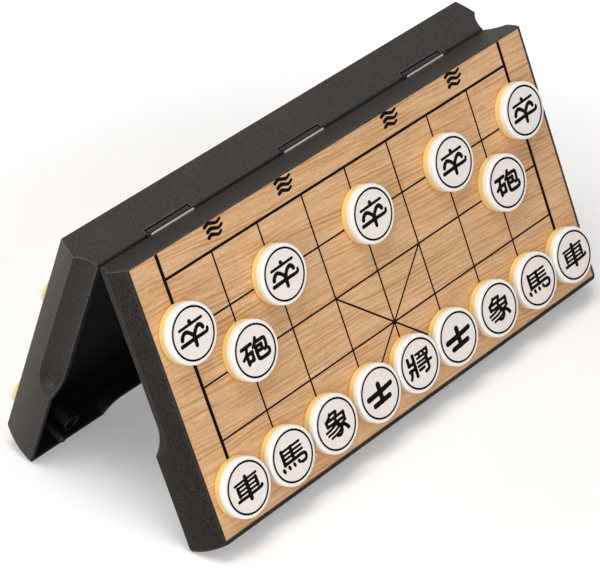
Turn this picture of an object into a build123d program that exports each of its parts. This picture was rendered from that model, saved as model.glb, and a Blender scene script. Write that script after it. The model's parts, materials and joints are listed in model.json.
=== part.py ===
import os
from math import cos, radians, sin, sqrt

from build123d import *

# A magnetic xiangqi set in a folding case. Two alike plastic trays are hinged along one long edge.
# Each carries half of the board on its outer face, so the case can close over the stored pieces,
# stand like a tent with the game laid out on both slopes, or open flat as one square board.
# X runs along the hinge, the front board faces -Y, and the case stands on Z = 0.

# Case, in millimetres and degrees
case_length = 248.5  # along the hinge, at the rim
half_width = 123.6  # from the hinge line to the outer rim of one tray
depth = 18.9  # from the rim plane to the board plane of one tray
tent_angle = 43.4  # between the two rim planes as the case stands
wall = 2.0
floor_thickness = 1.5
hinge_gap = 0.2  # each tray stays this far from the hinge line's two planes
straight_height = 0.8  # the walls rise straight this far, then lean in
end_flare = 3.5  # how far an end wall leans in at the board
side_flare = 3.0  # how far the outer wall leans in at the board
corner_radius = 2.1
rim_round = 0.4
board_edge_round = 0.3

# Finger scoops along the rim, a round bar's shape with round ends
scoop_radius = 12.1
scoop_offset = 6.35  # from the wall's face out to the bar's axis
scoop_drop = 0.4  # from the rim plane down to the bar's axis
end_scoop_reach = 80.0  # from the hinge line along each end wall
side_scoop_start = 42.75  # from each end along the outer wall

# Board: a steel sheet under a printed sheet, both let into the tray's outer face
end_lip = 1.15
hinge_lip = 0.7
side_lip = 1.7
sheet_clearance = 0.1
steel_thickness = 0.5
print_thickness = 0.3
print_sink = 0.1  # the print's face stays this far below the lip

# Playing grid
end_margin = 14.3  # from the print's end to the first file
side_margin = 13.3  # from the print's outer edge to the back rank
river_half = 12.0  # from the hinge line to the bank rank

# Locating pegs and sockets near the outer corners
peg_from_end = 15.05
socket_from_end = 23.95
peg_from_side = 7.7
peg_radius = 2.0
peg_reach = 3.0  # past the rim plane
peg_tip_round = 1.2
socket_clearance = 1.3  # the pegs only bring the halves roughly in line
socket_wall = 0.85
socket_sink = 1.8  # the socket's mouth stays this far inside the rim plane
socket_depth = 8.0

# Hinges: three steel pins held by the front tray, each carrying a clip set in the rear tray
hinge_spacing = 77.9
clip_length = 24.0
clip_recess = 0.05  # the clip's leaf lies this far below the wall's face
leaf_height = 2.75
flange_height = 8.0
flange_overlap = 3.0  # past the notch at each end
flange_thickness = 1.2
knuckle_radius = 1.0
pin_radius = 0.5
pin_clearance = 0.05
ear_length = 1.3
ear_gap = 0.55  # beside the clip and beyond its leaf
swing_clearance = 0.2
pin_sink = 0.2  # each pin end stays this far inside its ear

# Game pieces: a white face glued on an amber back, with a magnet in the back
piece_spacing = 1.4  # between neighbours on the back rank
piece_height = 6.2
back_height = 2.7
face_round = 0.8
back_round = 0.5
glue_gap = 0.02
seat_gap = 0.05  # between a piece and the print
magnet_radius = 5.0
magnet_height = 2.0
magnet_clearance = 0.05
magnet_sink = 0.1

# Worked out from the values above
lean = radians(tent_angle / 2)
half_length = case_length / 2
knuckle_swing = knuckle_radius + swing_clearance
recess_depth = steel_thickness + print_thickness + print_sink
recess_floor = depth - recess_depth
ceiling = recess_floor - floor_thickness
recess_length = case_length - 2 * (end_flare + end_lip)
recess_start = hinge_gap + hinge_lip
recess_end = half_width - side_flare - side_lip
print_length = recess_length - 2 * sheet_clearance
print_start = recess_start + sheet_clearance
print_end = recess_end - sheet_clearance
print_top = recess_floor + steel_thickness + print_thickness
file_pitch = (print_length - 2 * end_margin) / 8
back_rank = print_end - side_margin
rank_pitch = (back_rank - river_half) / 4
piece_radius = (file_pitch - piece_spacing) / 2
hinge_places = [-hinge_spacing, 0.0, hinge_spacing]
notch_half = clip_length / 2 + ear_gap
ear_end = notch_half + ear_length
hinge_height = (half_width - rim_round) * cos(lean) - (hinge_gap + rim_round) * sin(lean) + rim_round

# The two trays' frames: X along the hinge, Y from the hinge to the outer rim, Z out of the board
hinge_middle = (0, 0, hinge_height)
front_frame = Plane(hinge_middle, x_dir=(-1, 0, 0), z_dir=(0, -cos(lean), sin(lean)))
rear_frame = Plane(hinge_middle, x_dir=(1, 0, 0), z_dir=(0, cos(lean), sin(lean)))

os.makedirs("parts", exist_ok=True)


def write(piece, name):
    """Label a finished piece and write it under its name."""
    piece.part.label = name
    export_step(piece.part, f"parts/{name}.step")


def wall_reach(edge, flare, height, inset=0.0):
    """How far out a leaning wall's face stands at a height above the rim plane."""
    rise = depth - straight_height
    lean_radius = (rise**2 + flare**2) / (2 * flare)
    above = max(height - straight_height, 0.0)
    return edge - lean_radius + sqrt((lean_radius - inset) ** 2 - above**2)


def leaning_edge(edge, flare, low, high, inset, side):
    """One wall of a profile: straight up from the rim, then an arc that leans in."""
    foot, top = edge - inset, wall_reach(edge, flare, high, inset)
    middle = (straight_height + high) / 2
    bend = wall_reach(edge, flare, middle, inset)
    Line((side * foot, low), (side * foot, straight_height))
    ThreePointArc((side * foot, straight_height), (side * bend, middle), (side * top, high))
    return foot, top


def tray_block(start, low, high, inset):
    """A solid with the tray's leaning walls, each moved in by the inset."""
    with BuildPart() as block:
        with BuildSketch(Plane.YZ):
            with BuildLine():
                foot, top = leaning_edge(half_width, side_flare, low, high, inset, 1)
                Polyline((foot, low), (start, low), (start, high), (top, high))
            make_face()
        extrude(amount=half_length, both=True)
        with BuildSketch(Plane.XZ):
            with BuildLine():
                for side in (-1, 1):
                    foot, top = leaning_edge(half_length, end_flare, low, high, inset, side)
                Line((-foot, low), (foot, low))
                Line((-top, high), (top, high))
            make_face()
        extrude(amount=half_width, both=True, mode=Mode.INTERSECT)
    return block.part


def scoop_bars(extra):
    """The round bars that the finger scoops are cut with, made thicker by the extra."""
    radius = scoop_radius + extra
    run_out = sqrt(scoop_radius**2 - scoop_offset**2)
    end_x, side_y = half_length + scoop_offset, half_width + scoop_offset
    end_stop = end_scoop_reach - run_out
    side_stop = half_length - side_scoop_start - run_out
    with BuildPart() as bars:
        with BuildSketch(Plane.XZ):
            with Locations((-end_x, -scoop_drop), (end_x, -scoop_drop)):
                Circle(radius)
        extrude(amount=-end_stop)
        with BuildSketch(Plane.YZ):
            with Locations((side_y, -scoop_drop)):
                Circle(radius)
        extrude(amount=side_stop, both=True)
        with Locations(
            (-end_x, end_stop, -scoop_drop),
            (end_x, end_stop, -scoop_drop),
            (-side_stop, side_y, -scoop_drop),
            (side_stop, side_y, -scoop_drop),
        ):
            Sphere(radius)
    return bars.part


# Inside of a tray, with the backs of the finger scoops standing into it
with BuildPart() as cavity:
    add(tray_block(hinge_gap + wall, -wall, ceiling, wall))
    add(scoop_bars(wall), mode=Mode.SUBTRACT)

# Pegs and sockets swap places from end to end, so that two alike trays fit each other
peg_row = half_width - peg_from_side
peg_spots = [(-half_length + peg_from_end, peg_row), (half_length - socket_from_end, peg_row)]
socket_spots = [(-half_length + socket_from_end, peg_row), (half_length - peg_from_end, peg_row)]
socket_radius = peg_radius + socket_clearance
root_height = ceiling + floor_thickness / 2  # pegs and sockets are rooted in the floor

# One tray, before its hinge details
with BuildPart() as tray:
    add(tray_block(hinge_gap, hinge_gap, depth, 0.0))
    outer_corners = [
        edge
        for edge in tray.edges()
        if abs(edge.center().X) > half_length - end_flare
        and edge.center().Y > half_width - side_flare
        and hinge_gap < edge.center().Z < depth
    ]
    fillet(outer_corners, radius=corner_radius)
    rim_edges = tray.faces().sort_by(Axis.Z)[0].edges().sort_by(Axis.Y)[1:]
    fillet(rim_edges, radius=rim_round)
    fillet(tray.faces().sort_by(Axis.Z)[-1].edges(), radius=board_edge_round)
    add(cavity.part, mode=Mode.SUBTRACT)
    add(scoop_bars(0.0), mode=Mode.SUBTRACT)
    with BuildSketch(Plane.XY.offset(recess_floor)):
        with Locations((0, (recess_start + recess_end) / 2)):
            Rectangle(recess_length, recess_end - recess_start)
    extrude(amount=depth, mode=Mode.SUBTRACT)
    with BuildSketch(Plane.XY.offset(socket_sink)):
        with Locations(*socket_spots):
            Circle(socket_radius + socket_wall)
    extrude(amount=root_height - socket_sink)
    with BuildSketch(Plane.XY.offset(socket_sink)):
        with Locations(*socket_spots):
            Circle(socket_radius)
    extrude(amount=socket_depth, mode=Mode.SUBTRACT)
    with BuildSketch(Plane.XY.offset(-peg_reach)):
        with Locations(*peg_spots):
            Circle(peg_radius)
    extrude(amount=root_height + peg_reach)
    fillet(tray.edges().group_by(Axis.Z)[0], radius=peg_tip_round)


def hinge_bars(radius, start, end):
    """Round bars on the hinge line, from start to end on both sides of each hinge's middle."""
    with BuildPart() as bars:
        for middle in hinge_places:
            for low in (middle - end, middle + start):
                with BuildSketch(Plane.YZ.offset(low)):
                    Circle(radius)
                extrude(amount=end - start)
    return bars.part


# Front tray: ears hold the pins, and the corner between them clears the clips' knuckles
with BuildPart() as front_blank:
    add(tray.part)
    add(hinge_bars(knuckle_swing, 0.0, notch_half), mode=Mode.SUBTRACT)
    add(hinge_bars(knuckle_radius, notch_half, ear_end))
    add(hinge_bars(pin_radius, notch_half, ear_end), mode=Mode.SUBTRACT)
with BuildPart(front_frame) as front_tray:
    add(front_blank.part)
write(front_tray, "front_tray")

# Rear tray: a notch through the hinge wall for each clip's leaf, and room for the front's ears
notch_height = leaf_height + ear_gap
with BuildPart() as rear_blank:
    add(tray.part)
    with BuildSketch(Plane.XY):
        with Locations(*[(middle, 0) for middle in hinge_places]):
            Rectangle(2 * notch_half, 2 * (hinge_gap + wall))
    extrude(amount=notch_height, mode=Mode.SUBTRACT)
    add(hinge_bars(knuckle_swing, notch_half, ear_end + swing_clearance), mode=Mode.SUBTRACT)
with BuildPart(rear_frame) as rear_tray:
    add(rear_blank.part)
write(rear_tray, "rear_tray")


def board_sheet(low, thickness):
    """A flat sheet that lies in the board recess, with its clearance all round."""
    with BuildPart() as sheet:
        with BuildSketch(Plane.XY.offset(low)):
            with Locations((0, (print_start + print_end) / 2)):
                Rectangle(print_length, print_end - print_start)
        extrude(amount=thickness)
    return sheet.part


# Steel sheets and printed boards
steel_blank = board_sheet(recess_floor, steel_thickness)
print_blank = board_sheet(recess_floor + steel_thickness, print_thickness)
with BuildPart(front_frame) as front_steel_sheet:
    add(steel_blank)
write(front_steel_sheet, "front_steel_sheet")
with BuildPart(rear_frame) as rear_steel_sheet:
    add(steel_blank)
write(rear_steel_sheet, "rear_steel_sheet")
with BuildPart(front_frame) as front_board_print:
    add(print_blank)
write(front_board_print, "front_board_print")
with BuildPart(rear_frame) as rear_board_print:
    add(print_blank)
write(rear_board_print, "rear_board_print")


def hinge_clip(middle):
    """A clip: a knuckle on the pin, a leaf in the wall's notch and a flange behind the wall."""
    inner_face = hinge_gap + wall
    with BuildPart() as clip:
        with BuildSketch(Plane.YZ.offset(middle)):
            Circle(knuckle_radius)
            with Locations((hinge_gap + clip_recess, 0)):
                Rectangle(wall - clip_recess, leaf_height, align=(Align.MIN, Align.MIN))
        extrude(amount=clip_length / 2, both=True)
        with BuildSketch(Plane.YZ.offset(middle)):
            with Locations((inner_face, hinge_gap)):
                Rectangle(flange_thickness, flange_height, align=(Align.MIN, Align.MIN))
        extrude(amount=notch_half + flange_overlap, both=True)
        with BuildSketch(Plane.YZ.offset(middle)):
            Circle(pin_radius + pin_clearance)
        extrude(amount=clip_length / 2, both=True, mode=Mode.SUBTRACT)
    return clip.part


def hinge_pin(middle):
    """A steel pin through one clip and its two ears."""
    with BuildPart() as pin:
        with BuildSketch(Plane.YZ.offset(middle)):
            Circle(pin_radius)
        extrude(amount=ear_end - pin_sink, both=True)
    return pin.part


for number, middle in enumerate(hinge_places, start=1):
    with BuildPart(rear_frame) as clip:
        add(hinge_clip(middle))
    write(clip, f"hinge_clip_{number}")
    with BuildPart(rear_frame) as pin:
        add(hinge_pin(middle))
    write(pin, f"hinge_pin_{number}")

# One game piece, standing on its own back: amber back, magnet and white face
with BuildPart() as piece_blank:
    Cylinder(piece_radius, back_height - glue_gap, align=(Align.CENTER, Align.CENTER, Align.MIN))
    fillet(piece_blank.edges().sort_by(Axis.Z)[0], radius=back_round)
    pocket_depth = magnet_sink + magnet_height + magnet_clearance
    with BuildSketch(Plane.XY):
        Circle(magnet_radius + magnet_clearance)
    extrude(amount=pocket_depth, mode=Mode.SUBTRACT)
    with BuildSketch(Plane.XY.offset(magnet_sink)):
        Circle(magnet_radius)
    extrude(amount=magnet_height)
    with BuildSketch(Plane.XY.offset(back_height)):
        Circle(piece_radius)
    extrude(amount=piece_height - back_height)
    fillet(piece_blank.edges().sort_by(Axis.Z)[-1], radius=face_round)

# Starting places: kind, ranks up from the back rank, and for each piece its file counted from the
# middle one, then how far it is set off its crossing, along the hinge and away from the hinge
black_layout = [
    ("chariot", 0, [(-4, -0.1, -3.4), (4, 0.5, -3.5)]),
    ("horse", 0, [(-3, 0.0, -3.3), (3, 1.3, -3.5)]),
    ("elephant", 0, [(-2, 0.3, -3.6), (2, 0.5, -3.5)]),
    ("advisor", 0, [(-1, 1.2, -3.5), (1, -0.5, -3.6)]),
    ("general", 0, [(0, 0.5, -4.0)]),
    ("cannon", 2, [(-3, -0.3, -3.7), (3, 1.3, -3.1)]),
    ("soldier", 3, [(-4, -0.1, -1.0), (-2, -0.1, -0.8), (0, 1.9, -1.6), (2, 1.1, -1.3), (4, -2.4, -3.4)]),
]
red_layout = [
    ("chariot", 0, [(-4, -1.0, -2.5), (4, 0.3, -2.8)]),
    ("horse", 0, [(-3, -0.6, -2.6), (3, 0.4, -3.0)]),
    ("elephant", 0, [(-2, -0.4, -2.9), (2, 0.2, -2.7)]),
    ("advisor", 0, [(-1, 0.3, -2.6), (1, 0.6, -2.8)]),
    ("general", 0, [(0, 0.2, -3.0)]),
    ("cannon", 2, [(-3, 0.6, 0.8), (3, -0.7, -0.5)]),
    ("soldier", 3, [(-4, -0.8, 2.5), (-2, 0.5, 0.6), (0, -0.4, 0.3), (2, 0.6, -0.6), (4, 0.2, 0.9)]),
]


def set_out(side, layout, frame, along):
    """Place one side's pieces on its board; along is +1 where the frame's X is the case's, else -1."""
    for kind, rank, places in layout:
        for number, (file, aside, away) in enumerate(places, start=1):
            x = along * (file * file_pitch + aside)
            y = back_rank - rank * rank_pitch + away
            with BuildPart(frame.offset(print_top + seat_gap)) as piece:
                with Locations((x, y)):
                    add(piece_blank.part)
            write(piece, f"{side}_{kind}_{number}" if len(places) > 1 else f"{side}_{kind}")


set_out("black", black_layout, front_frame, -1)
set_out("red", red_layout, rear_frame, 1)

print("hinge height", round(hinge_height, 3), "print top", round(print_top, 3))
print("file pitch", round(file_pitch, 3), "rank pitch", round(rank_pitch, 3))
print("piece diameter", round(2 * piece_radius, 3), "back rank", round(back_rank, 3))
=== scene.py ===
"""A folding magnetic xiangqi set, standing like a tent, dressed for a plain studio photograph."""

import json
from math import cos, pi, radians, sin

import bpy
import numpy as np
from mathutils import Matrix, Vector
from mathutils.geometry import delaunay_2d_cdt


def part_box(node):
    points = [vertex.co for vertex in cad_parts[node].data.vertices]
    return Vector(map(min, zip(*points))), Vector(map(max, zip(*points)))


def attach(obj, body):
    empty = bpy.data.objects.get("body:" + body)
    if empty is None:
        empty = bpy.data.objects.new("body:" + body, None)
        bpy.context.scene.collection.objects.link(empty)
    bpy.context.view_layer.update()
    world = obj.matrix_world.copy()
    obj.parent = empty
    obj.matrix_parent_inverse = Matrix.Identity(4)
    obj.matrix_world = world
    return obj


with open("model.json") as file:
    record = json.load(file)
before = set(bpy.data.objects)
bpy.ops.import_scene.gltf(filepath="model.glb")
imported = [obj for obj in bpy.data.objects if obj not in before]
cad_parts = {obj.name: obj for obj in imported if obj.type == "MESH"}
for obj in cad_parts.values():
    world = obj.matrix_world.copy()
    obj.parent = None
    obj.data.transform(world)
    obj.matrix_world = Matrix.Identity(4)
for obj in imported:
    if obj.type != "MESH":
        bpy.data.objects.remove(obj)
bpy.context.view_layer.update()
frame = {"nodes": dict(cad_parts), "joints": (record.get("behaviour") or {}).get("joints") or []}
nodes = frame["nodes"]
MM = 0.001

# The two boards, worked out from the joints: the hinge's place and each board's outward normal
joints = {joint["name"]: joint for joint in frame["joints"]}
hinge = Vector(joints["case_hinge"]["pos_m"])


class Board:
    """One half's outer face as its player sees it: right and up on the board, and out of it."""

    def __init__(self, side, body, lift_joint, right):
        self.side = side
        self.body = body
        self.right = Vector(right)
        self.out = Vector(joints[lift_joint]["axis"]).normalized()
        self.up = self.out.cross(self.right)

    def place(self, x, y, out):
        """A point in the row frame from board measures in metres, counted from the hinge's middle."""
        return hinge + self.right * x + self.up * y + self.out * out

    def measures(self, node):
        """Lowest and highest board measures of a CAD node: right, up and out."""
        points = np.array([v.co for v in nodes[node].data.vertices]) - np.array(hinge)
        axes = np.array([self.right, self.up, self.out]).T
        local = points @ axes
        return local.min(0), local.max(0)


front = Board("black", "front_half", "black_general_lift", (1, 0, 0))
rear = Board("red", "rear_half", "red_general_lift", (-1, 0, 0))
boards = {"front": front, "rear": rear}


# Node helpers
SOFTLY = {"interpolation_type": "SMOOTHSTEP"}


class Nodes:
    """A node tree with short ways to add and join nodes."""

    def __init__(self, tree):
        self.tree = tree

    def add(self, kind, inputs=(), **settings):
        node = self.tree.nodes.new("ShaderNode" + kind)
        for name, value in settings.items():
            setattr(node, name, value)
        for key, value in dict(inputs).items():
            self.set(node, key, value)
        return node

    def set(self, node, key, value):
        if isinstance(value, bpy.types.NodeSocket):
            self.tree.links.new(value, node.inputs[key])
        else:
            node.inputs[key].default_value = value

    def math(self, operation, a, b=0.0, c=0.0):
        return self.add("Math", {0: a, 1: b, 2: c}, operation=operation).outputs[0]

    def dot(self, vector, axis):
        node = self.add("VectorMath", {0: vector, 1: tuple(axis)}, operation="DOT_PRODUCT")
        return node.outputs["Value"]

    def vector(self, x, y, z=0.0):
        return self.add("CombineXYZ", {0: x, 1: y, 2: z}).outputs[0]

    def noise(self, vector, scale, detail=2.0, roughness=0.5):
        settings = {"Vector": vector, "Scale": scale, "Detail": detail, "Roughness": roughness}
        return self.add("TexNoise", settings).outputs["Fac"]

    def rise(self, value, low, high, **settings):
        """0 up to low, 1 from high, and in between as the settings say. High may lie below low."""
        spread = {"Value": value, "From Min": low, "From Max": high}
        return self.add("MapRange", spread, **settings).outputs[0]

    def ramp(self, value, stops):
        node = self.add("ValToRGB", {0: value})
        ramp = node.color_ramp
        while len(ramp.elements) < len(stops):
            ramp.elements.new(0.5)
        for element, (position, color) in zip(ramp.elements, stops):
            element.position = position
            element.color = (*color, 1.0)
        return node.outputs["Color"]

    def mix(self, factor, a, b, blend="MIX"):
        node = self.add("Mix", data_type="RGBA", blend_type=blend)
        for socket, value in ((node.inputs[0], factor), (node.inputs[6], a), (node.inputs[7], b)):
            if isinstance(value, bpy.types.NodeSocket):
                self.tree.links.new(value, socket)
            else:
                socket.default_value = value if socket == node.inputs[0] else (*value, 1.0)
        return node.outputs[2]

    def here(self):
        return self.add("TexCoord").outputs["Object"]

    def bump(self, height, strength, distance):
        node = self.add("Bump", {"Height": height, "Strength": strength, "Distance": distance})
        return node.outputs["Normal"]

    def sees_studio(self):
        """1 for the camera's rays and for what shows in gloss and glass, else 0."""
        rays = self.add("LightPath").outputs
        either = self.math("MAXIMUM", rays["Is Camera Ray"], rays["Is Glossy Ray"])
        return self.math("MAXIMUM", either, rays["Is Transmission Ray"])

    def outer_edges(self, reach):
        """About 1 along outward edges, falling to 0 this far from them in metres."""
        node = self.add("AmbientOcclusion", {"Distance": reach}, inside=True, only_local=True, samples=8)
        return self.math("MULTIPLY", self.math("SUBTRACT", 1.0, node.outputs["AO"]), 2.0)

    def gaps(self, reach):
        """1 deep in a narrow gap and 0 in the open, looked for this far in metres."""
        node = self.add("AmbientOcclusion", {"Distance": reach}, samples=8)
        return self.rise(node.outputs["AO"], 0.80, 0.40, **SOFTLY)

    def faces_point(self, point, low, high):
        """1 where the surface faces this point and passes it at more than this far in metres, else 0."""
        across = self.add("VectorMath", {0: tuple(point), 1: self.here()}, operation="SUBTRACT").outputs[0]
        normal = self.add("TexCoord").outputs["Normal"]
        facing = self.add("VectorMath", {0: across, 1: normal}, operation="DOT_PRODUCT").outputs["Value"]
        return self.rise(facing, low, high, **SOFTLY)


class Surface(Nodes):
    """A new material's node tree."""

    def __init__(self, name):
        self.material = bpy.data.materials.new(name)
        self.material.use_nodes = True
        super().__init__(self.material.node_tree)
        self.tree.nodes.clear()
        self.output = self.tree.nodes.new("ShaderNodeOutputMaterial")

    def finish(self, inputs):
        shader = self.add("BsdfPrincipled", inputs)
        self.tree.links.new(shader.outputs[0], self.output.inputs[0])
        return self.material


def grey(value):
    return (value, value, value)


# Black moulded plastic: a fine spark-eroded grain, dull and rubbed patches, edges worn a little shiny and
# lighter, partly as wear and partly as a painted highlight, and painted shade, darker and duller, inside the
# trays, in the seam between them and around each hinge leaf
DARK_GRAIN, PALE_GRAIN = (0.0042, 0.0031, 0.0025), (0.040, 0.0325, 0.0285)
# Lighter grey of the edges, partly wear and partly a painted highlight
EDGE_WEAR_AND_HIGHLIGHT_GREY = (0.095, 0.086, 0.079)
# Near black of the painted shade in gaps, inside the trays, along the seam and round each hinge leaf
PAINTED_SHADE_BLACK = (0.0018, 0.0014, 0.0012)
KNUCKLE_STEEL = (0.46, 0.455, 0.45)
EDGE_WEAR_AND_HIGHLIGHT_REACH = 0.7 * MM
# Reaches of the painted shade: in gaps, inside the trays, along the seam and round each hinge leaf
GAP_REACH = 1.0 * MM
INSIDE_FROM, INSIDE_TO = 1.0 * MM, 4.0 * MM
SEAM_OUTER, SEAM_INNER = 1.25 * MM, 0.90 * MM
LEAF_OUTLINE = 0.60 * MM
KNUCKLE_OUTER, KNUCKLE_RADIUS = 1.15 * MM, 1.05 * MM
BARE_FROM, BARE_TO = -0.50 * MM, -0.62 * MM


def case_plastic(name, roughness, grain, wear_and_highlight, gloss, middle=None):
    """The plastic of a tray with its open side's middle, or else of the hinge clips, with a bare knuckle."""
    n = Surface(name)
    place = n.here()
    fine = n.noise(place, 1700.0, 2.0, 0.7)
    coarse = n.noise(place, 1000.0, 2.0, 0.6)
    broad = n.noise(place, 70.0, 3.0, 0.55)
    mottled = n.math("MULTIPLY_ADD", coarse, 0.3, n.math("MULTIPLY", fine, 0.7))
    speckle = n.ramp(mottled, [(0.41, DARK_GRAIN), (0.61, PALE_GRAIN)])
    color = n.mix(n.math("MULTIPLY", broad, 0.4), speckle, DARK_GRAIN)
    patches_of_wear_and_highlight = n.ramp(n.noise(place, 260.0, 3.0, 0.65), [(0.35, grey(0.25)), (0.62, grey(1.0))])
    # Edges lighter and a little glossier, partly as wear and partly as a painted highlight
    worn = n.math("MULTIPLY", n.math("MULTIPLY", n.outer_edges(EDGE_WEAR_AND_HIGHLIGHT_REACH), patches_of_wear_and_highlight), wear_and_highlight)
    worn = n.math("MINIMUM", worn, 1.0)
    color = n.mix(worn, color, EDGE_WEAR_AND_HIGHLIGHT_GREY)
    rough = n.math("MULTIPLY_ADD", broad, 0.10, roughness)
    rough = n.math("MULTIPLY_ADD", worn, -0.12, rough)
    height = n.math("SUBTRACT", n.dot(place, (0, 0, 1)), hinge.z)
    depth = n.math("SUBTRACT", n.dot(place, (0, 1, 0)), hinge.y)
    from_axis = n.add("VectorMath", {0: n.vector(0.0, depth, height)}, operation="LENGTH").outputs["Value"]
    # Painted shade, near black and duller: in gaps, the trays' seam and inside faces, and round each leaf's
    # edges
    painted_shade = n.gaps(GAP_REACH)
    if middle is not None:
        painted_shade = n.math("MAXIMUM", painted_shade, n.rise(from_axis, SEAM_OUTER, SEAM_INNER))
        painted_shade = n.math("MAXIMUM", painted_shade, n.faces_point(middle, INSIDE_FROM, INSIDE_TO))
    else:
        painted_shade = n.math("MINIMUM", n.math("MAXIMUM", painted_shade, n.outer_edges(LEAF_OUTLINE)), 1.0)
    color = n.mix(painted_shade, color, PAINTED_SHADE_BLACK)
    rough = n.math("MULTIPLY_ADD", painted_shade, 0.40, rough)
    metal = 0.0
    if middle is None:
        rolled = n.rise(from_axis, KNUCKLE_OUTER, KNUCKLE_RADIUS)
        metal = n.math("MULTIPLY", rolled, n.rise(depth, BARE_FROM, BARE_TO))
        color = n.mix(metal, color, KNUCKLE_STEEL)
        rough = n.math("MULTIPLY_ADD", metal, -0.14, rough)
    normal = n.bump(n.noise(place, 1900.0, 2.0), grain, 0.10 * MM)
    return n.finish({"Base Color": color, "Roughness": rough, "Normal": normal, "Metallic": metal,
                     "Specular IOR Level": gloss})


# Wood-look printed film: soft growth lines that wander nearly along the ranks, with fine dark streaks,
# pale flecks and short pores
GROWTH_SPACING = 1.9 * MM
GRAIN_SLANT = 0.07
SWAY, RIPPLE_SWAY = 8.0 * MM, 2.6 * MM
WOOD_TONES = [(0.08, (0.330, 0.165, 0.066)), (0.38, (0.490, 0.270, 0.118)),
              (0.62, (0.626, 0.382, 0.200)), (0.92, (0.740, 0.520, 0.330))]
PORE_SHADE = (0.74, 0.64, 0.52)


def wood_print(name, board):
    n = Surface(name)
    place = n.here()
    along, across = n.dot(place, board.right), n.dot(place, board.up)
    across = n.math("MULTIPLY_ADD", along, GRAIN_SLANT, across)

    def streaks(length, width, detail=2.0, roughness=0.5, level=across):
        """Noise stretched along the grain, its marks about this long and wide in metres."""
        point = n.vector(n.math("DIVIDE", along, length), n.math("DIVIDE", level, width))
        return n.noise(point, 1.0, detail, roughness)

    sway = n.math("SUBTRACT", streaks(0.110, 0.075, 1.0), 0.5)
    bent = n.math("MULTIPLY_ADD", sway, SWAY, across)
    ripple_sway = n.math("SUBTRACT", streaks(0.030, 0.020, 1.0, level=bent), 0.5)
    bent = n.math("MULTIPLY_ADD", ripple_sway, RIPPLE_SWAY, bent)
    drift = n.math("MULTIPLY", streaks(0.070, 0.010, level=bent), 3.2)
    phase = n.math("ADD", n.math("DIVIDE", bent, GROWTH_SPACING), drift)
    wave = n.math("SINE", n.math("MULTIPLY", phase, 2 * pi))
    late_wood = n.math("POWER", n.math("MULTIPLY_ADD", wave, 0.5, 0.5), 2.0)
    late_places = n.rise(streaks(0.060, 0.005, 2.0, 0.6, bent), 0.36, 0.68, **SOFTLY)
    late_wood = n.math("MULTIPLY", late_wood, late_places)
    dark_streaks = n.rise(streaks(0.040, 0.00060, 2.0, 0.6, bent), 0.52, 0.72, **SOFTLY)
    pale_flecks = n.rise(streaks(0.020, 0.00050, 2.0, 0.6, n.math("ADD", bent, 0.5)), 0.54, 0.74, **SOFTLY)
    tone = n.math("MULTIPLY_ADD", late_wood, -0.34, -0.19)
    tone = n.math("MULTIPLY_ADD", dark_streaks, -0.12, tone)
    tone = n.math("MULTIPLY_ADD", pale_flecks, 0.34, tone)
    tone = n.math("MULTIPLY_ADD", streaks(0.140, 0.018, 2.0, 0.5, bent), 0.34, tone)
    tone = n.math("MULTIPLY_ADD", streaks(0.024, 0.0013, 2.0, 0.55, bent), 0.48, tone)
    tone = n.math("MULTIPLY_ADD", streaks(0.0036, 0.00050, 2.0, 0.6, bent), 0.42, tone)
    tone = n.math("MULTIPLY_ADD", n.noise(place, 1100.0, 2.0, 0.6), 0.34, tone)
    color = n.ramp(tone, WOOD_TONES)
    pores = n.ramp(streaks(0.0055, 0.00032, 1.0, 0.5), [(0.66, grey(1.0)), (0.80, PORE_SHADE)])
    color = n.mix(0.6, color, pores, "MULTIPLY")
    normal = n.bump(tone, 0.06, 0.05 * MM)
    return n.finish({"Base Color": color, "Roughness": 0.48, "Specular IOR Level": 0.30, "Normal": normal})


# Ivory white over amber, the colours of a piece's face and back
IVORY = (0.92, 0.885, 0.845)
CREAM = (0.95, 0.88, 0.76)
TINTED = (0.97, 0.79, 0.46)
AMBER = (0.99, 0.695, 0.210)
AMBER_DEEP = (0.97, 0.600, 0.140)
CLOUDED = (0.80, 0.74, 0.66)
# The amber back of each piece is this high, and the colours turn within this much about the glue line
BACK_HEIGHT = 2.7 * MM
BLEND_HEIGHT = 10.0 * MM


def piece_plastic(name, board, glue_height):
    n = Surface(name)
    place = n.here()
    level = n.math("SUBTRACT", n.dot(place, board.out), board.out.dot(hinge))
    above = n.math("MULTIPLY_ADD", n.math("SUBTRACT", level, glue_height), 1 / BLEND_HEIGHT, 0.5)
    color = n.ramp(above, [(0.20, AMBER_DEEP), (0.42, AMBER), (0.495, AMBER), (0.520, TINTED),
                           (0.560, CREAM), (0.64, IVORY)])
    cloud = n.noise(place, 160.0, 3.0, 0.6)
    color = n.mix(n.math("MULTIPLY", cloud, 0.10), color, CLOUDED)
    normal = n.bump(n.noise(place, 900.0, 2.0), 0.05, 0.03 * MM)
    return n.finish({"Base Color": color, "Roughness": 0.34, "Subsurface Weight": 0.55,
                     "Subsurface Radius": (1.0, 0.70, 0.45), "Subsurface Scale": 3.0 * MM,
                     "Specular IOR Level": 0.45, "Normal": normal})


# The matt round inside each ring, a little greyer than the glossy rim around it
def face_field(name):
    n = Surface(name)
    place = n.here()
    fine = n.noise(place, 1900.0, 3.0, 0.65)
    color = n.ramp(fine, [(0.32, (0.755, 0.700, 0.672)), (0.70, (0.840, 0.792, 0.764))])
    normal = n.bump(fine, 0.10, 0.03 * MM)
    return n.finish({"Base Color": color, "Roughness": 0.6, "Specular IOR Level": 0.3, "Normal": normal})


def ink(name, color, worn):
    n = Surface(name)
    place = n.here()
    cloud = n.noise(place, 700.0, 3.0, 0.6)
    shade = n.ramp(cloud, [(0.35, color), (0.75, worn)])
    return n.finish({"Base Color": shade, "Roughness": 0.6, "Specular IOR Level": 0.03})


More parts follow.
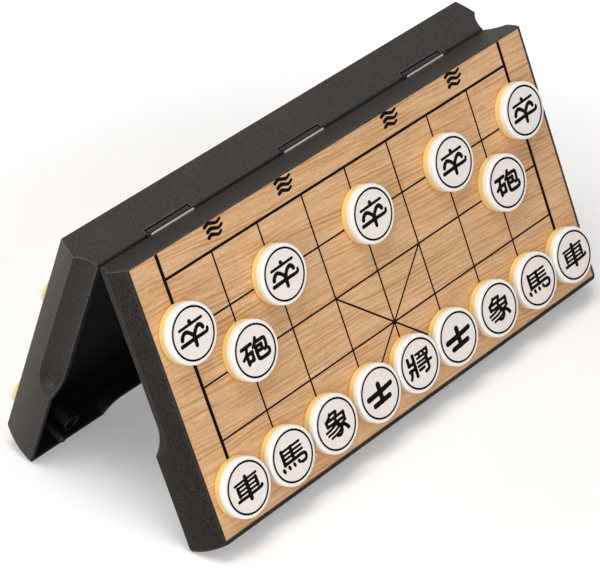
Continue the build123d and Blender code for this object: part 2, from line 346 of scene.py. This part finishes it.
def brushed_steel(name):
    n = Surface(name)
    place = n.here()
    drawn = n.add("Mapping", {"Vector": place, "Scale": (25.0, 2400.0, 2400.0)}).outputs[0]
    lines = n.noise(drawn, 1.0, 3.0, 0.6)
    color = n.ramp(lines, [(0.3, grey(0.46)), (0.7, grey(0.62))])
    rough = n.math("MULTIPLY_ADD", lines, 0.2, 0.24)
    return n.finish({"Base Color": color, "Metallic": 1.0, "Roughness": rough})


def tray_middle(half, board):
    """The middle of a tray's open side."""
    low, high = board.measures(half + "_tray")
    return board.place((low[0] + high[0]) / 2, (low[1] + high[1]) / 2, low[2])


tray_plastic = {
    "front": case_plastic("front_case_plastic", 0.46, 0.36, 0.9, 0.10, tray_middle("front", front)),
    "rear": case_plastic("rear_case_plastic", 0.34, 0.36, 0.9, 0.20, tray_middle("rear", rear)),
}
black_hinge = case_plastic("hinge_plastic", 0.42, 0.20, 0.2, 0.20)
steel = brushed_steel("drawn_steel")
field = face_field("piece_field")
black_ink = ink("black_ink", (0.0025, 0.0020, 0.0020), (0.0055, 0.0045, 0.0045))
red_ink = ink("red_ink", (0.46, 0.012, 0.010), (0.56, 0.030, 0.022))


def dress(node, material):
    """Give a CAD node its material and leave its shape as it is."""
    node_object = nodes[node]
    node_object.data.materials.clear()
    node_object.data.materials.append(material)


for half, board in boards.items():
    dress(half + "_tray", tray_plastic[half])
    dress(half + "_steel_sheet", steel)
    dress(half + "_board_print", wood_print(half + "_wood", board))
for number in ("1", "2", "3"):
    dress("hinge_clip_" + number, black_hinge)
    dress("hinge_pin_" + number, steel)


# Flat printed shapes
def outline_loops(field_values, low, step):
    """Closed outlines of where a grid of values is above zero."""
    inside = field_values > 0
    turns = ("", "LB", "BR", "LR", "RT", "LB RT", "BT", "LT", "TL", "TB", "BR TL", "TR", "RL", "RB", "BL")
    follows, points = {}, {}
    code = (inside[:-1, :-1] * 1 + inside[1:, :-1] * 2 + inside[1:, 1:] * 4 + inside[:-1, 1:] * 8)
    for i, j in np.argwhere((code > 0) & (code < 15)):
        ends = {"B": (i, j, i + 1, j), "T": (i, j + 1, i + 1, j + 1),
                "L": (i, j, i, j + 1), "R": (i + 1, j, i + 1, j + 1)}
        for start, end in turns[code[i, j]].split():
            follows[ends[start]] = ends[end]
            for a, b, c, d in (ends[start], ends[end]):
                share = field_values[a, b] / (field_values[a, b] - field_values[c, d])
                points[(a, b, c, d)] = (low[0] + step * (a + share * (c - a)),
                                        low[1] + step * (b + share * (d - b)))
    loops = []
    while follows:
        start, edge = follows.popitem()
        loop = [points[start]]
        while edge != start:
            loop.append(points[edge])
            edge = follows.pop(edge)
        loops.append(loop)
    return loops


def smooth_line(points, pieces=8):
    """A round line through the points, as many short pieces."""
    if len(points) == 2:
        return np.array(points, float)
    p = np.array([points[0], *points, points[-1]], float)
    line = []
    for a, b, c, d in zip(p, p[1:], p[2:], p[3:]):
        for t in np.linspace(0, 1, pieces, endpoint=False):
            line.append(0.5 * (2 * b + (c - a) * t + (2 * a - 5 * b + 4 * c - d) * t**2
                               + (3 * b - a - 3 * c + d) * t**3))
    return np.array([*line, points[-1]])


# All in millimetres: the outline grid reaches this far past a stroke's points, and strokes that lie nearer
# than the blend flow together
STROKE_MARGIN = 2.5
STROKE_BLEND = 0.35
FAR_OUTSIDE = -9.0


def brushed_loops(strokes, step=0.10):
    """Outlines of brush strokes, in millimetres. A stroke is (start width, end width, points)."""
    everything = np.array([p for _, _, points in strokes for p in points])
    low, high = everything.min(0) - STROKE_MARGIN, everything.max(0) + STROKE_MARGIN
    xs = np.arange(low[0], high[0], step)
    ys = np.arange(low[1], high[1], step)
    grid = np.stack(np.meshgrid(xs, ys, indexing="ij"), -1)
    total = None
    for width_a, width_b, points in strokes:
        line = smooth_line(points)
        count = len(line) - 1
        stroke = np.full(grid.shape[:2], FAR_OUTSIDE)
        for k, (a, b) in enumerate(zip(line, line[1:])):
            along = b - a
            share = np.clip(((grid - a) @ along) / max(along @ along, 1e-9), 0, 1)
            width = width_a + (width_b - width_a) * (k + share) / count
            distance = np.linalg.norm(grid - a - share[..., None] * along, axis=-1)
            stroke = np.maximum(stroke, width / 2 - distance)
        if total is None:
            total = stroke
        else:
            near = np.maximum(STROKE_BLEND - np.abs(total - stroke), 0) / STROKE_BLEND
            total = np.maximum(total, stroke) + near**2 * STROKE_BLEND / 4
    return outline_loops(total, low, step)


def circle_loop(radius, count=128):
    return [(radius * cos(2 * pi * k / count), radius * sin(2 * pi * k / count)) for k in range(count)]


# Settings of the triangulation: keep what lies inside the outlines, and join points closer than this
INSIDE_ONLY = 2
SAME_POINT = 1e-5


class Print:
    """A mesh of thin flat shapes on one board, collected shape by shape."""

    def __init__(self, board, centre, level):
        self.board = board
        self.centre = centre
        self.level = level
        self.points = []
        self.faces = []
        self.slots = []

    def shape(self, loops, low, high, slot=0):
        """Add a closed flat solid from outlines in millimetres; low and high are above the level."""
        corners = [Vector(point) for loop in loops for point in loop]
        starts = np.cumsum([0] + [len(loop) for loop in loops])
        outlines = [list(range(a, b)) for a, b in zip(starts, starts[1:])]
        corners, _, triangles, *_ = delaunay_2d_cdt(corners, [], outlines, INSIDE_ONLY, SAME_POINT)
        count, first = len(corners), len(self.points)
        for height in (low, high):
            for x, y in corners:
                self.points.append(self.board.place(self.centre[0] + x * MM, self.centre[1] + y * MM,
                                                    self.level + height * MM))
        sides = set()
        for triangle in triangles:
            self.add([first + count + k for k in triangle], slot)
            self.add([first + k for k in reversed(triangle)], slot)
            for a, b in zip(triangle, triangle[1:] + triangle[:1]):
                if (b, a) in sides:
                    sides.remove((b, a))
                else:
                    sides.add((a, b))
        for a, b in sorted(sides):
            self.add((first + a, first + b, first + b + count, first + a + count), slot)

    def add(self, face, slot):
        self.faces.append(face)
        self.slots.append(slot)

    def build(self, name, materials, body):
        mesh = bpy.data.meshes.new(name)
        mesh.from_pydata([tuple(p) for p in self.points], [], self.faces)
        mesh.polygons.foreach_set("material_index", self.slots)
        for material in materials:
            mesh.materials.append(material)
        mesh.update()
        piece = bpy.data.objects.new(name, mesh)
        bpy.context.scene.collection.objects.link(piece)
        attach(piece, body)
        return piece


# The signs on the pieces: plain brush strokes in millimetres from the face's middle, right and up
BRUSH_WEIGHT, BRUSH_SPREAD = 1.4, 0.40


def stroke(width, *points, end=None):
    """A stroke as written and a little wider, as wet ink spreads."""
    widths = (width, width if end is None else end)
    start_width, end_width = (w * BRUSH_WEIGHT + BRUSH_SPREAD for w in widths)
    return (start_width, end_width, points)


def moved(strokes, across, rise, dx, dy):
    """The same strokes, squeezed or stretched and then shifted."""
    return [(a, b, tuple((x * across + dx, y * rise + dy) for x, y in points)) for a, b, points in strokes]


MAN = [stroke(1.0, (-5.0, 4.9), (-5.8, 2.9), (-7.3, 0.9), end=0.6), stroke(1.05, (-5.9, 2.4), (-5.9, -4.6))]
WAGON = [
    stroke(0.5, (-6.3, 3.5), (6.0, 4.0)),
    stroke(1.0, (0.0, 4.9), (0.1, -4.7), end=1.1),
    stroke(0.85, (-5.3, 2.0), (-5.2, -1.5)),
    stroke(0.52, (-5.3, 2.0), (5.2, 2.4)),
    stroke(0.85, (5.2, 2.4), (5.3, -1.2)),
    stroke(0.42, (-5.2, 0.3), (5.2, 0.6)),
    stroke(0.5, (-5.2, -1.4), (5.3, -1.1)),
    stroke(0.72, (-6.6, -3.2), (5.6, -2.8), (7.0, -2.1)),
]
HORSE = [
    stroke(0.9, (-5.4, 4.3), (-5.3, -1.7)),
    stroke(0.52, (-5.4, 4.0), (5.2, 4.3)),
    stroke(0.52, (-5.2, 2.2), (5.4, 2.4)),
    stroke(0.52, (-5.2, 0.5), (5.6, 0.7)),
    stroke(0.85, (-0.1, 4.2), (0.0, -1.3)),
    stroke(0.78, (-5.3, -1.5), (0.6, -1.4), (5.2, -1.3), (6.6, -2.3), (6.0, -4.1), (3.8, -4.4)),
    stroke(0.85, (-6.7, -3.2), (-6.4, -4.0)),
    stroke(0.75, (-3.6, -3.2), (-3.3, -4.0)),
    stroke(0.75, (-0.7, -3.2), (-0.4, -4.0)),
    stroke(0.75, (2.1, -3.1), (2.5, -3.9)),
]
ELEPHANT = [
    stroke(0.75, (-2.2, 5.3), (-3.0, 4.3), (-4.4, 3.5), end=0.6),
    stroke(0.65, (-2.4, 5.0), (1.4, 5.1), (0.5, 3.6)),
    stroke(0.8, (-5.2, 2.9), (-5.0, 0.9)),
    stroke(0.68, (-5.2, 2.9), (5.2, 3.1)),
    stroke(0.8, (5.2, 3.1), (5.0, 0.9)),
    stroke(0.68, (-5.0, 0.8), (5.0, 0.9)),
    stroke(0.75, (0.1, 3.0), (0.0, 1.0)),
    stroke(0.95, (-0.8, 0.7), (1.4, -0.9), (2.1, -3.2), (0.7, -4.9), (-1.2, -4.7), end=0.7),
    stroke(0.52, (-0.3, 0.2), (-2.9, -0.7), (-6.5, -1.2), end=0.56),
    stroke(0.5, (1.1, -1.3), (-1.8, -2.3), (-5.9, -2.8), end=0.52),
    stroke(0.48, (1.7, -2.8), (-0.8, -3.8), (-4.5, -4.4), end=0.52),
    stroke(0.6, (5.2, -0.3), (2.4, -1.2)),
    stroke(0.75, (2.4, -1.4), (4.3, -2.3), (5.6, -4.1), end=1.0),
]
SCHOLAR = [
    stroke(1.5, (0.1, 3.9), (0.1, -3.4)),
    stroke(1.5, (-7.0, 0.1), (0.0, 0.6), (7.0, 1.5), end=1.25),
    stroke(1.35, (-4.7, -3.8), (4.6, -3.1)),
]
LEADER = [
    stroke(1.0, (-2.9, 4.8), (-3.1, -4.3)),
    stroke(0.95, (-6.2, 4.4), (-6.2, 1.7)),
    stroke(0.8, (-6.2, 1.6), (-3.1, 1.7)),
    stroke(0.8, (-6.7, -0.9), (-3.1, -0.8)),
    stroke(0.95, (-5.9, -0.9), (-6.0, -2.8), (-6.9, -4.2), end=0.8),
    stroke(0.55, (-1.1, 4.4), (5.9, 4.5)),
    stroke(0.5, (-0.8, 2.5), (5.6, 2.6)),
    stroke(0.6, (1.0, 4.2), (0.8, 2.8)),
    stroke(0.6, (3.5, 4.2), (3.5, 2.8)),
    stroke(0.75, (5.9, 4.4), (5.6, 2.4), (4.0, 1.2), end=0.6),
    stroke(0.5, (-1.2, 0.8), (4.6, 0.8)),
    stroke(0.62, (-1.2, -0.9), (7.0, -0.7)),
    stroke(0.85, (4.4, 0.9), (4.6, -1.6), (4.4, -3.9), (2.2, -4.6), end=0.8),
    stroke(0.7, (-1.0, -2.6), (1.9, -2.5)),
]
WRAP = [
    stroke(0.95, (1.4, 4.8), (0.4, 3.0), (-0.9, 1.8), end=0.7),
    stroke(0.85, (0.6, 3.2), (5.0, 3.2), (6.0, 2.6), (5.9, -0.3), (4.9, -1.5)),
    stroke(0.85, (0.5, 1.3), (3.6, 1.3)),
    stroke(0.85, (3.6, 1.3), (3.6, -0.7)),
    stroke(0.85, (0.5, -0.7), (3.6, -0.7)),
    stroke(1.0, (0.4, 1.3), (0.4, -2.6), (1.3, -4.0), (5.4, -4.0), (6.7, -3.3), (6.7, -1.9), end=0.85),
]
STONE = [
    stroke(0.9, (-6.9, 3.3), (-1.5, 3.6)),
    stroke(0.95, (-4.2, 3.3), (-5.1, 0.6), (-7.2, -1.0), end=0.75),
    stroke(0.9, (-5.1, 0.2), (-5.1, -3.7)),
    stroke(0.85, (-5.1, 0.1), (-2.0, 0.3)),
    stroke(0.9, (-2.0, 0.3), (-2.2, -2.9)),
    stroke(0.85, (-5.1, -3.0), (-2.2, -2.9)),
]
FIRE = [
    stroke(1.0, (-4.2, 4.6), (-4.3, 0.6), (-5.4, -2.2), (-7.2, -4.2), end=0.75),
    stroke(0.9, (-4.1, -0.3), (-3.2, -2.0), (-1.7, -3.6), end=1.1),
    stroke(0.9, (-6.7, 2.4), (-6.2, 0.9)),
    stroke(0.9, (-1.7, 2.8), (-2.7, 1.1)),
]
FOOTMAN = [
    stroke(1.0, (-0.2, 5.3), (0.1, 4.4)),
    stroke(0.60, (-6.2, 3.8), (6.1, 4.3)),
    stroke(1.12, (-6.2, -0.1), (-5.4, 1.2), (-3.7, 2.0), (-1.8, 1.0), (-0.2, -0.7), end=0.8),
    stroke(1.00, (0.4, -0.5), (2.0, 1.3), (3.7, 2.0), (4.9, 1.2), (5.3, 0.3), end=1.05),
    stroke(0.95, (-7.3, -2.5), (0.0, -2.2), (6.3, -2.1), (7.2, -0.9), end=0.70),
    stroke(1.25, (0.0, -1.0), (-0.1, -5.0), end=1.0),
]
GUARD = [
    stroke(0.95, (2.8, 5.2), (0.2, 4.6), (-3.2, 4.3)),
    stroke(1.05, (-3.3, 4.5), (-3.3, -0.9)),
    stroke(0.8, (-3.3, 2.0), (4.8, 2.3)),
    stroke(1.0, (1.5, 2.2), (1.5, -0.8)),
    stroke(1.0, (-7.2, -1.1), (6.2, -0.8), (7.4, -0.1)),
    stroke(1.1, (-2.2, -2.3), (-3.4, -3.6), (-5.4, -4.8), end=0.8),
    stroke(1.0, (2.2, -2.2), (3.8, -3.4), (5.4, -4.7), end=1.3),
]
TREE_EYE = [
    stroke(0.85, (-7.1, 2.1), (-1.0, 2.4)),
    stroke(1.1, (-4.0, 5.0), (-4.0, -4.8)),
    stroke(0.9, (-4.1, 2.0), (-5.2, -0.5), (-7.2, -2.2), end=0.7),
    stroke(0.9, (-3.8, 1.6), (-2.6, -0.2), (-1.1, -1.3)),
    stroke(1.0, (0.9, 4.3), (0.9, -4.6)),
    stroke(1.0, (6.2, 4.3), (6.2, -4.6)),
    stroke(0.85, (0.9, 4.2), (6.2, 4.3)),
    stroke(0.8, (0.9, 1.5), (6.2, 1.6)),
    stroke(0.8, (0.9, -1.3), (6.2, -1.2)),
    stroke(0.85, (0.9, -4.1), (6.2, -4.0)),
]
BANNER = [
    stroke(0.95, (-4.0, 5.3), (-5.2, 3.9)),
    stroke(1.0, (-6.2, 3.7), (-6.2, -4.1)),
    stroke(0.85, (-6.2, 3.6), (-2.4, 3.7)),
    stroke(0.9, (-2.4, 3.7), (-2.4, 1.1)),
    stroke(0.85, (-6.2, 1.0), (-2.4, 1.1)),
    stroke(0.85, (-6.2, -0.8), (-2.2, -0.7)),
    stroke(0.9, (-2.2, -0.7), (-2.2, -3.8)),
    stroke(0.85, (-6.2, -3.8), (-2.2, -3.7)),
    stroke(1.15, (3.1, 5.2), (3.1, -5.0)),
    stroke(0.85, (-0.4, 2.9), (6.5, 3.0)),
    stroke(1.0, (-0.4, 2.9), (-0.4, -2.4)),
    stroke(1.0, (6.5, 3.0), (6.5, -1.4), (5.8, -2.5), (4.7, -2.1)),
]
BESIDE = (0.70, 1.0, 2.1, 0.0)
SIGNS = {
    ("black", "chariot"): WAGON,
    ("black", "horse"): HORSE,
    ("black", "elephant"): ELEPHANT,
    ("black", "advisor"): SCHOLAR,
    ("black", "general"): LEADER,
    ("black", "cannon"): STONE + WRAP,
    ("black", "soldier"): FOOTMAN,
    ("red", "chariot"): MAN + moved(WAGON, *BESIDE),
    ("red", "horse"): MAN + moved(HORSE, *BESIDE),
    ("red", "elephant"): TREE_EYE,
    ("red", "advisor"): MAN + moved(SCHOLAR, *BESIDE),
    ("red", "general"): BANNER,
    ("red", "cannon"): FIRE + WRAP,
    ("red", "soldier"): GUARD,
}
# Ring and field in millimetres: the field reaches a little under the ring and down into the face
RING_OUTER, RING_INNER, FIELD_RADIUS = 10.96, 10.10, 10.20
FIELD_LOW, FIELD_HIGH = -0.01, 0.012
SIGN_LOW, INK_HIGH = 0.002, 0.03
sign_loops = {key: brushed_loops(strokes) for key, strokes in SIGNS.items()}

for board, ink_material in ((front, black_ink), (rear, red_ink)):
    names = sorted(name for name in nodes if name.startswith(board.side + "_"))
    plastic = None
    for name in names:
        low, high = board.measures(name)
        if plastic is None:
            plastic = piece_plastic(board.side + "_piece_plastic", board, float(low[2]) + BACK_HEIGHT)
        dress(name, plastic)
        middle = ((low[0] + high[0]) / 2, (low[1] + high[1]) / 2)
        face = Print(board, middle, high[2])
        face.shape([circle_loop(FIELD_RADIUS)], FIELD_LOW, FIELD_HIGH, 0)
        face.shape([circle_loop(RING_OUTER), circle_loop(RING_INNER)], 0.0, INK_HIGH, 1)
        kind = name.split("_")[1]
        face.shape(sign_loops[(board.side, kind)], SIGN_LOW, INK_HIGH, 1)
        face.build(name + "_face_print", [field, ink_material], name)


# The playing grid on each board, in millimetres. The palace's two diagonals lie below the other lines and
# at two levels, so that no faces coincide where they cross.
FILE_PITCH, RANK_PITCH = 26.3, 23.375
BANK, BACK_RANK = 12.0, 105.5
HEAVY, BANK_LINE, THIN = 1.65, 1.20, 0.82
LINE_HEIGHT, DIAGONAL_HEIGHTS = 0.020, {-1: 0.017, 1: 0.011}
DIAGONAL_STEP = 0.2
# Marks on the river band beside the hinge, and each mark's waves: shift along the band, distance from the
# board's edge, length and width
RIVER_PLACES = (-74.0, -33.0, 32.5, 74.0)
RIVER_WAVES = ((0.0, 1.2, 8.6, 0.95), (0.5, 3.6, 8.0, 1.0), (-0.3, 5.9, 7.0, 0.95))
WAVE_RISE = 0.62


def rectangles_shape(printed, rectangles):
    """Add the union of upright rectangles (left, bottom, right, top) as one set of flat cells."""
    xs = sorted({r[0] for r in rectangles} | {r[2] for r in rectangles})
    ys = sorted({r[1] for r in rectangles} | {r[3] for r in rectangles})
    filled = {(i, j) for i in range(len(xs) - 1) for j in range(len(ys) - 1)
              if any(r[0] <= xs[i] < r[2] and r[1] <= ys[j] < r[3] for r in rectangles)}
    index = {}

    def corner(i, j, top):
        if (i, j, top) not in index:
            index[(i, j, top)] = len(printed.points)
            height = (LINE_HEIGHT if top else 0.0) * MM
            printed.points.append(printed.board.place(xs[i] * MM, ys[j] * MM, printed.level + height))
        return index[(i, j, top)]

    for i, j in sorted(filled):
        ring = [(i, j), (i + 1, j), (i + 1, j + 1), (i, j + 1)]
        printed.add(tuple(corner(*c, True) for c in ring), 0)
        printed.add(tuple(corner(*c, False) for c in reversed(ring)), 0)
        beside = [(i, j - 1), (i + 1, j), (i, j + 1), (i - 1, j)]
        for k, neighbour in enumerate(beside):
            if neighbour not in filled:
                a, b = ring[k], ring[(k + 1) % 4]
                printed.add((corner(*a, False), corner(*b, False), corner(*b, True), corner(*a, True)), 0)


def upright(x, bottom, top, width):
    return (x - width / 2, bottom, x + width / 2, top)


def level(y, left, right, width):
    return (left, y - width / 2, right, y + width / 2)


def ripple(x, y, length, width):
    """One brushed wave, about as wide as a hand-lettered sign."""
    quarter = length / 4
    return stroke(width, (x - 2 * quarter, y), (x - quarter, y + WAVE_RISE), (x, y),
                  (x + quarter, y - WAVE_RISE), (x + 2 * quarter, y + 0.1), end=width * 0.6)


for half, board in boards.items():
    low, high = board.measures(half + "_board_print")
    printed = Print(board, (0.0, 0.0), high[2])
    edge = float(high[1]) / MM - 0.05
    side = 4 * FILE_PITCH
    lines = [upright(x, -BACK_RANK - HEAVY / 2, edge, HEAVY) for x in (-side, side)]
    lines.append(level(-BANK, -side, side, BANK_LINE))
    lines.append(level(-BACK_RANK, -side, side, HEAVY))
    lines += [upright(k * FILE_PITCH, -BACK_RANK, -BANK, THIN) for k in range(-3, 4)]
    lines += [level(-BACK_RANK + k * RANK_PITCH, -side, side, THIN) for k in (1, 2, 3)]
    rectangles_shape(printed, lines)
    reach, rise = FILE_PITCH, 2 * RANK_PITCH
    for sign in (-1, 1):
        diagonal = (THIN, THIN, ((-sign * reach, -BACK_RANK), (sign * reach, -BACK_RANK + rise)))
        printed.shape(brushed_loops([diagonal], DIAGONAL_STEP), 0.0, DIAGONAL_HEIGHTS[sign])
    for x in RIVER_PLACES:
        for shift, drop, length, width in RIVER_WAVES:
            wave = ripple(x + shift, edge - drop, length, width)
            printed.shape(brushed_loops([wave]), 0.0, LINE_HEIGHT)
    printed.build(half + "_grid_ink", [black_ink], board.body)


# Studio: a pale floor, soft lamps and a plain world
FLOOR_HALF = 3.0
FLOOR_TONE, FLOOR_SEEN = 0.74, 0.78
GLOW_NEAR, GLOW_FAR = 0.24, 1.0
GLOW_FROM, GLOW_TO = 0.17, 0.50
WORLD_FILL = 0.012
floor_mesh = bpy.data.meshes.new("floor")
floor_mesh.from_pydata([(-FLOOR_HALF, -FLOOR_HALF, 0), (FLOOR_HALF, -FLOOR_HALF, 0),
                        (FLOOR_HALF, FLOOR_HALF, 0), (-FLOOR_HALF, FLOOR_HALF, 0)], [], [(0, 1, 2, 3)])
floor = bpy.data.objects.new("floor", floor_mesh)
bpy.context.scene.collection.objects.link(floor)


def floor_material():
    """Pale floor. It is seen a little lighter than it lights, so that it is white outside the shadow."""
    n = Surface("pale_floor")
    seen = n.sees_studio()
    color = n.mix(seen, grey(FLOOR_TONE), grey(FLOOR_SEEN))
    diffuse = n.add("BsdfDiffuse", {"Color": color}).outputs[0]
    distance = n.add("VectorMath", {0: n.here()}, operation="LENGTH").outputs["Value"]
    spread = n.add("MapRange", {"Value": distance, "From Min": GLOW_FROM, "From Max": GLOW_TO,
                                "To Min": GLOW_NEAR, "To Max": GLOW_FAR}, **SOFTLY)
    glow = n.math("MULTIPLY", seen, spread.outputs["Result"])
    glow = n.add("Emission", {"Strength": glow}).outputs[0]
    both = n.add("AddShader", {0: diffuse, 1: glow}).outputs[0]
    n.tree.links.new(both, n.output.inputs[0])
    return n.material


floor_mesh.materials.append(floor_material())


def lamp(name, place, target, size, watts, color):
    """A soft rectangular lamp that points at the target."""
    data = bpy.data.lights.new(name, "AREA")
    data.shape = "RECTANGLE"
    data.size, data.size_y = size
    data.energy = watts
    data.color = color
    item = bpy.data.objects.new(name, data)
    item.location = place
    item.rotation_euler = (Vector(target) - Vector(place)).to_track_quat("-Z", "Y").to_euler()
    bpy.context.scene.collection.objects.link(item)


# Place, size in metres and watts of each lamp
WARM = (1.0, 0.975, 0.955)
LAMPS = {
    "overhead_lamp": ((-0.22, -0.10, 1.28), (0.55, 0.55), 8.4),
    "back_lamp": ((-0.45, 1.20, 0.40), (0.8, 0.8), 5.6),
    "back_left_lamp": ((-0.90, 0.90, 0.70), (0.8, 0.8), 3.4),
    "left_lamp": ((-1.30, -0.10, 0.50), (0.8, 0.8), 2.7),
    "low_left_lamp": ((-1.15, -0.48, 0.28), (0.5, 0.5), 3.9),
    "high_left_lamp": ((-0.80, -0.20, 1.00), (0.8, 0.8), 1.6),
    "front_lamp": ((-0.20, -0.90, 1.00), (0.8, 0.8), 3.0),
    "low_front_lamp": ((-0.20, -1.30, 0.40), (0.8, 0.8), 4.8),
    "hinge_lamp": ((0.66, 0.14, 1.12), (0.20, 0.50), 1.2),
}
aim = (0.0, 0.0, float(hinge.z) / 2)
for lamp_name, (place, size, watts) in LAMPS.items():
    lamp(lamp_name, place, aim, size, watts, WARM)

world = bpy.data.worlds.new("studio_world")
bpy.context.scene.world = world
world.use_nodes = True
sky = Nodes(world.node_tree)
backdrop = sky.tree.nodes["Background"]
backdrop.inputs["Color"].default_value = (1.0, 1.0, 1.0, 1.0)
fill = sky.add("MapRange", {"Value": sky.sees_studio(), "To Min": WORLD_FILL, "To Max": 1.0})
sky.set(backdrop, "Strength", fill.outputs["Result"])

# Camera at the photograph's viewing angle
CAMERA_FROM_HINGE_END = Vector((-0.62325, -0.6858, 0.6189))
CAMERA_AZIMUTH, CAMERA_ELEVATION, CAMERA_ROLL = radians(-47.27), radians(34.34), radians(-2.15)
CAMERA_LENS = 174.0
hinge_end = hinge - Vector((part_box("front_tray")[1].x, 0, 0))
camera_data = bpy.data.cameras.new("camera")
camera_data.sensor_width = 36.0
camera_data.lens = CAMERA_LENS
camera_data.clip_start = 0.01
camera = bpy.data.objects.new("camera", camera_data)
turn = (Matrix.Rotation(CAMERA_AZIMUTH, 4, "Z") @ Matrix.Rotation(pi / 2 - CAMERA_ELEVATION, 4, "X")
        @ Matrix.Rotation(CAMERA_ROLL, 4, "Z"))
camera.matrix_world = Matrix.Translation(hinge_end + CAMERA_FROM_HINGE_END) @ turn
bpy.context.scene.collection.objects.link(camera)
bpy.context.scene.camera = camera
bpy.context.scene.view_settings.view_transform = "Standard"
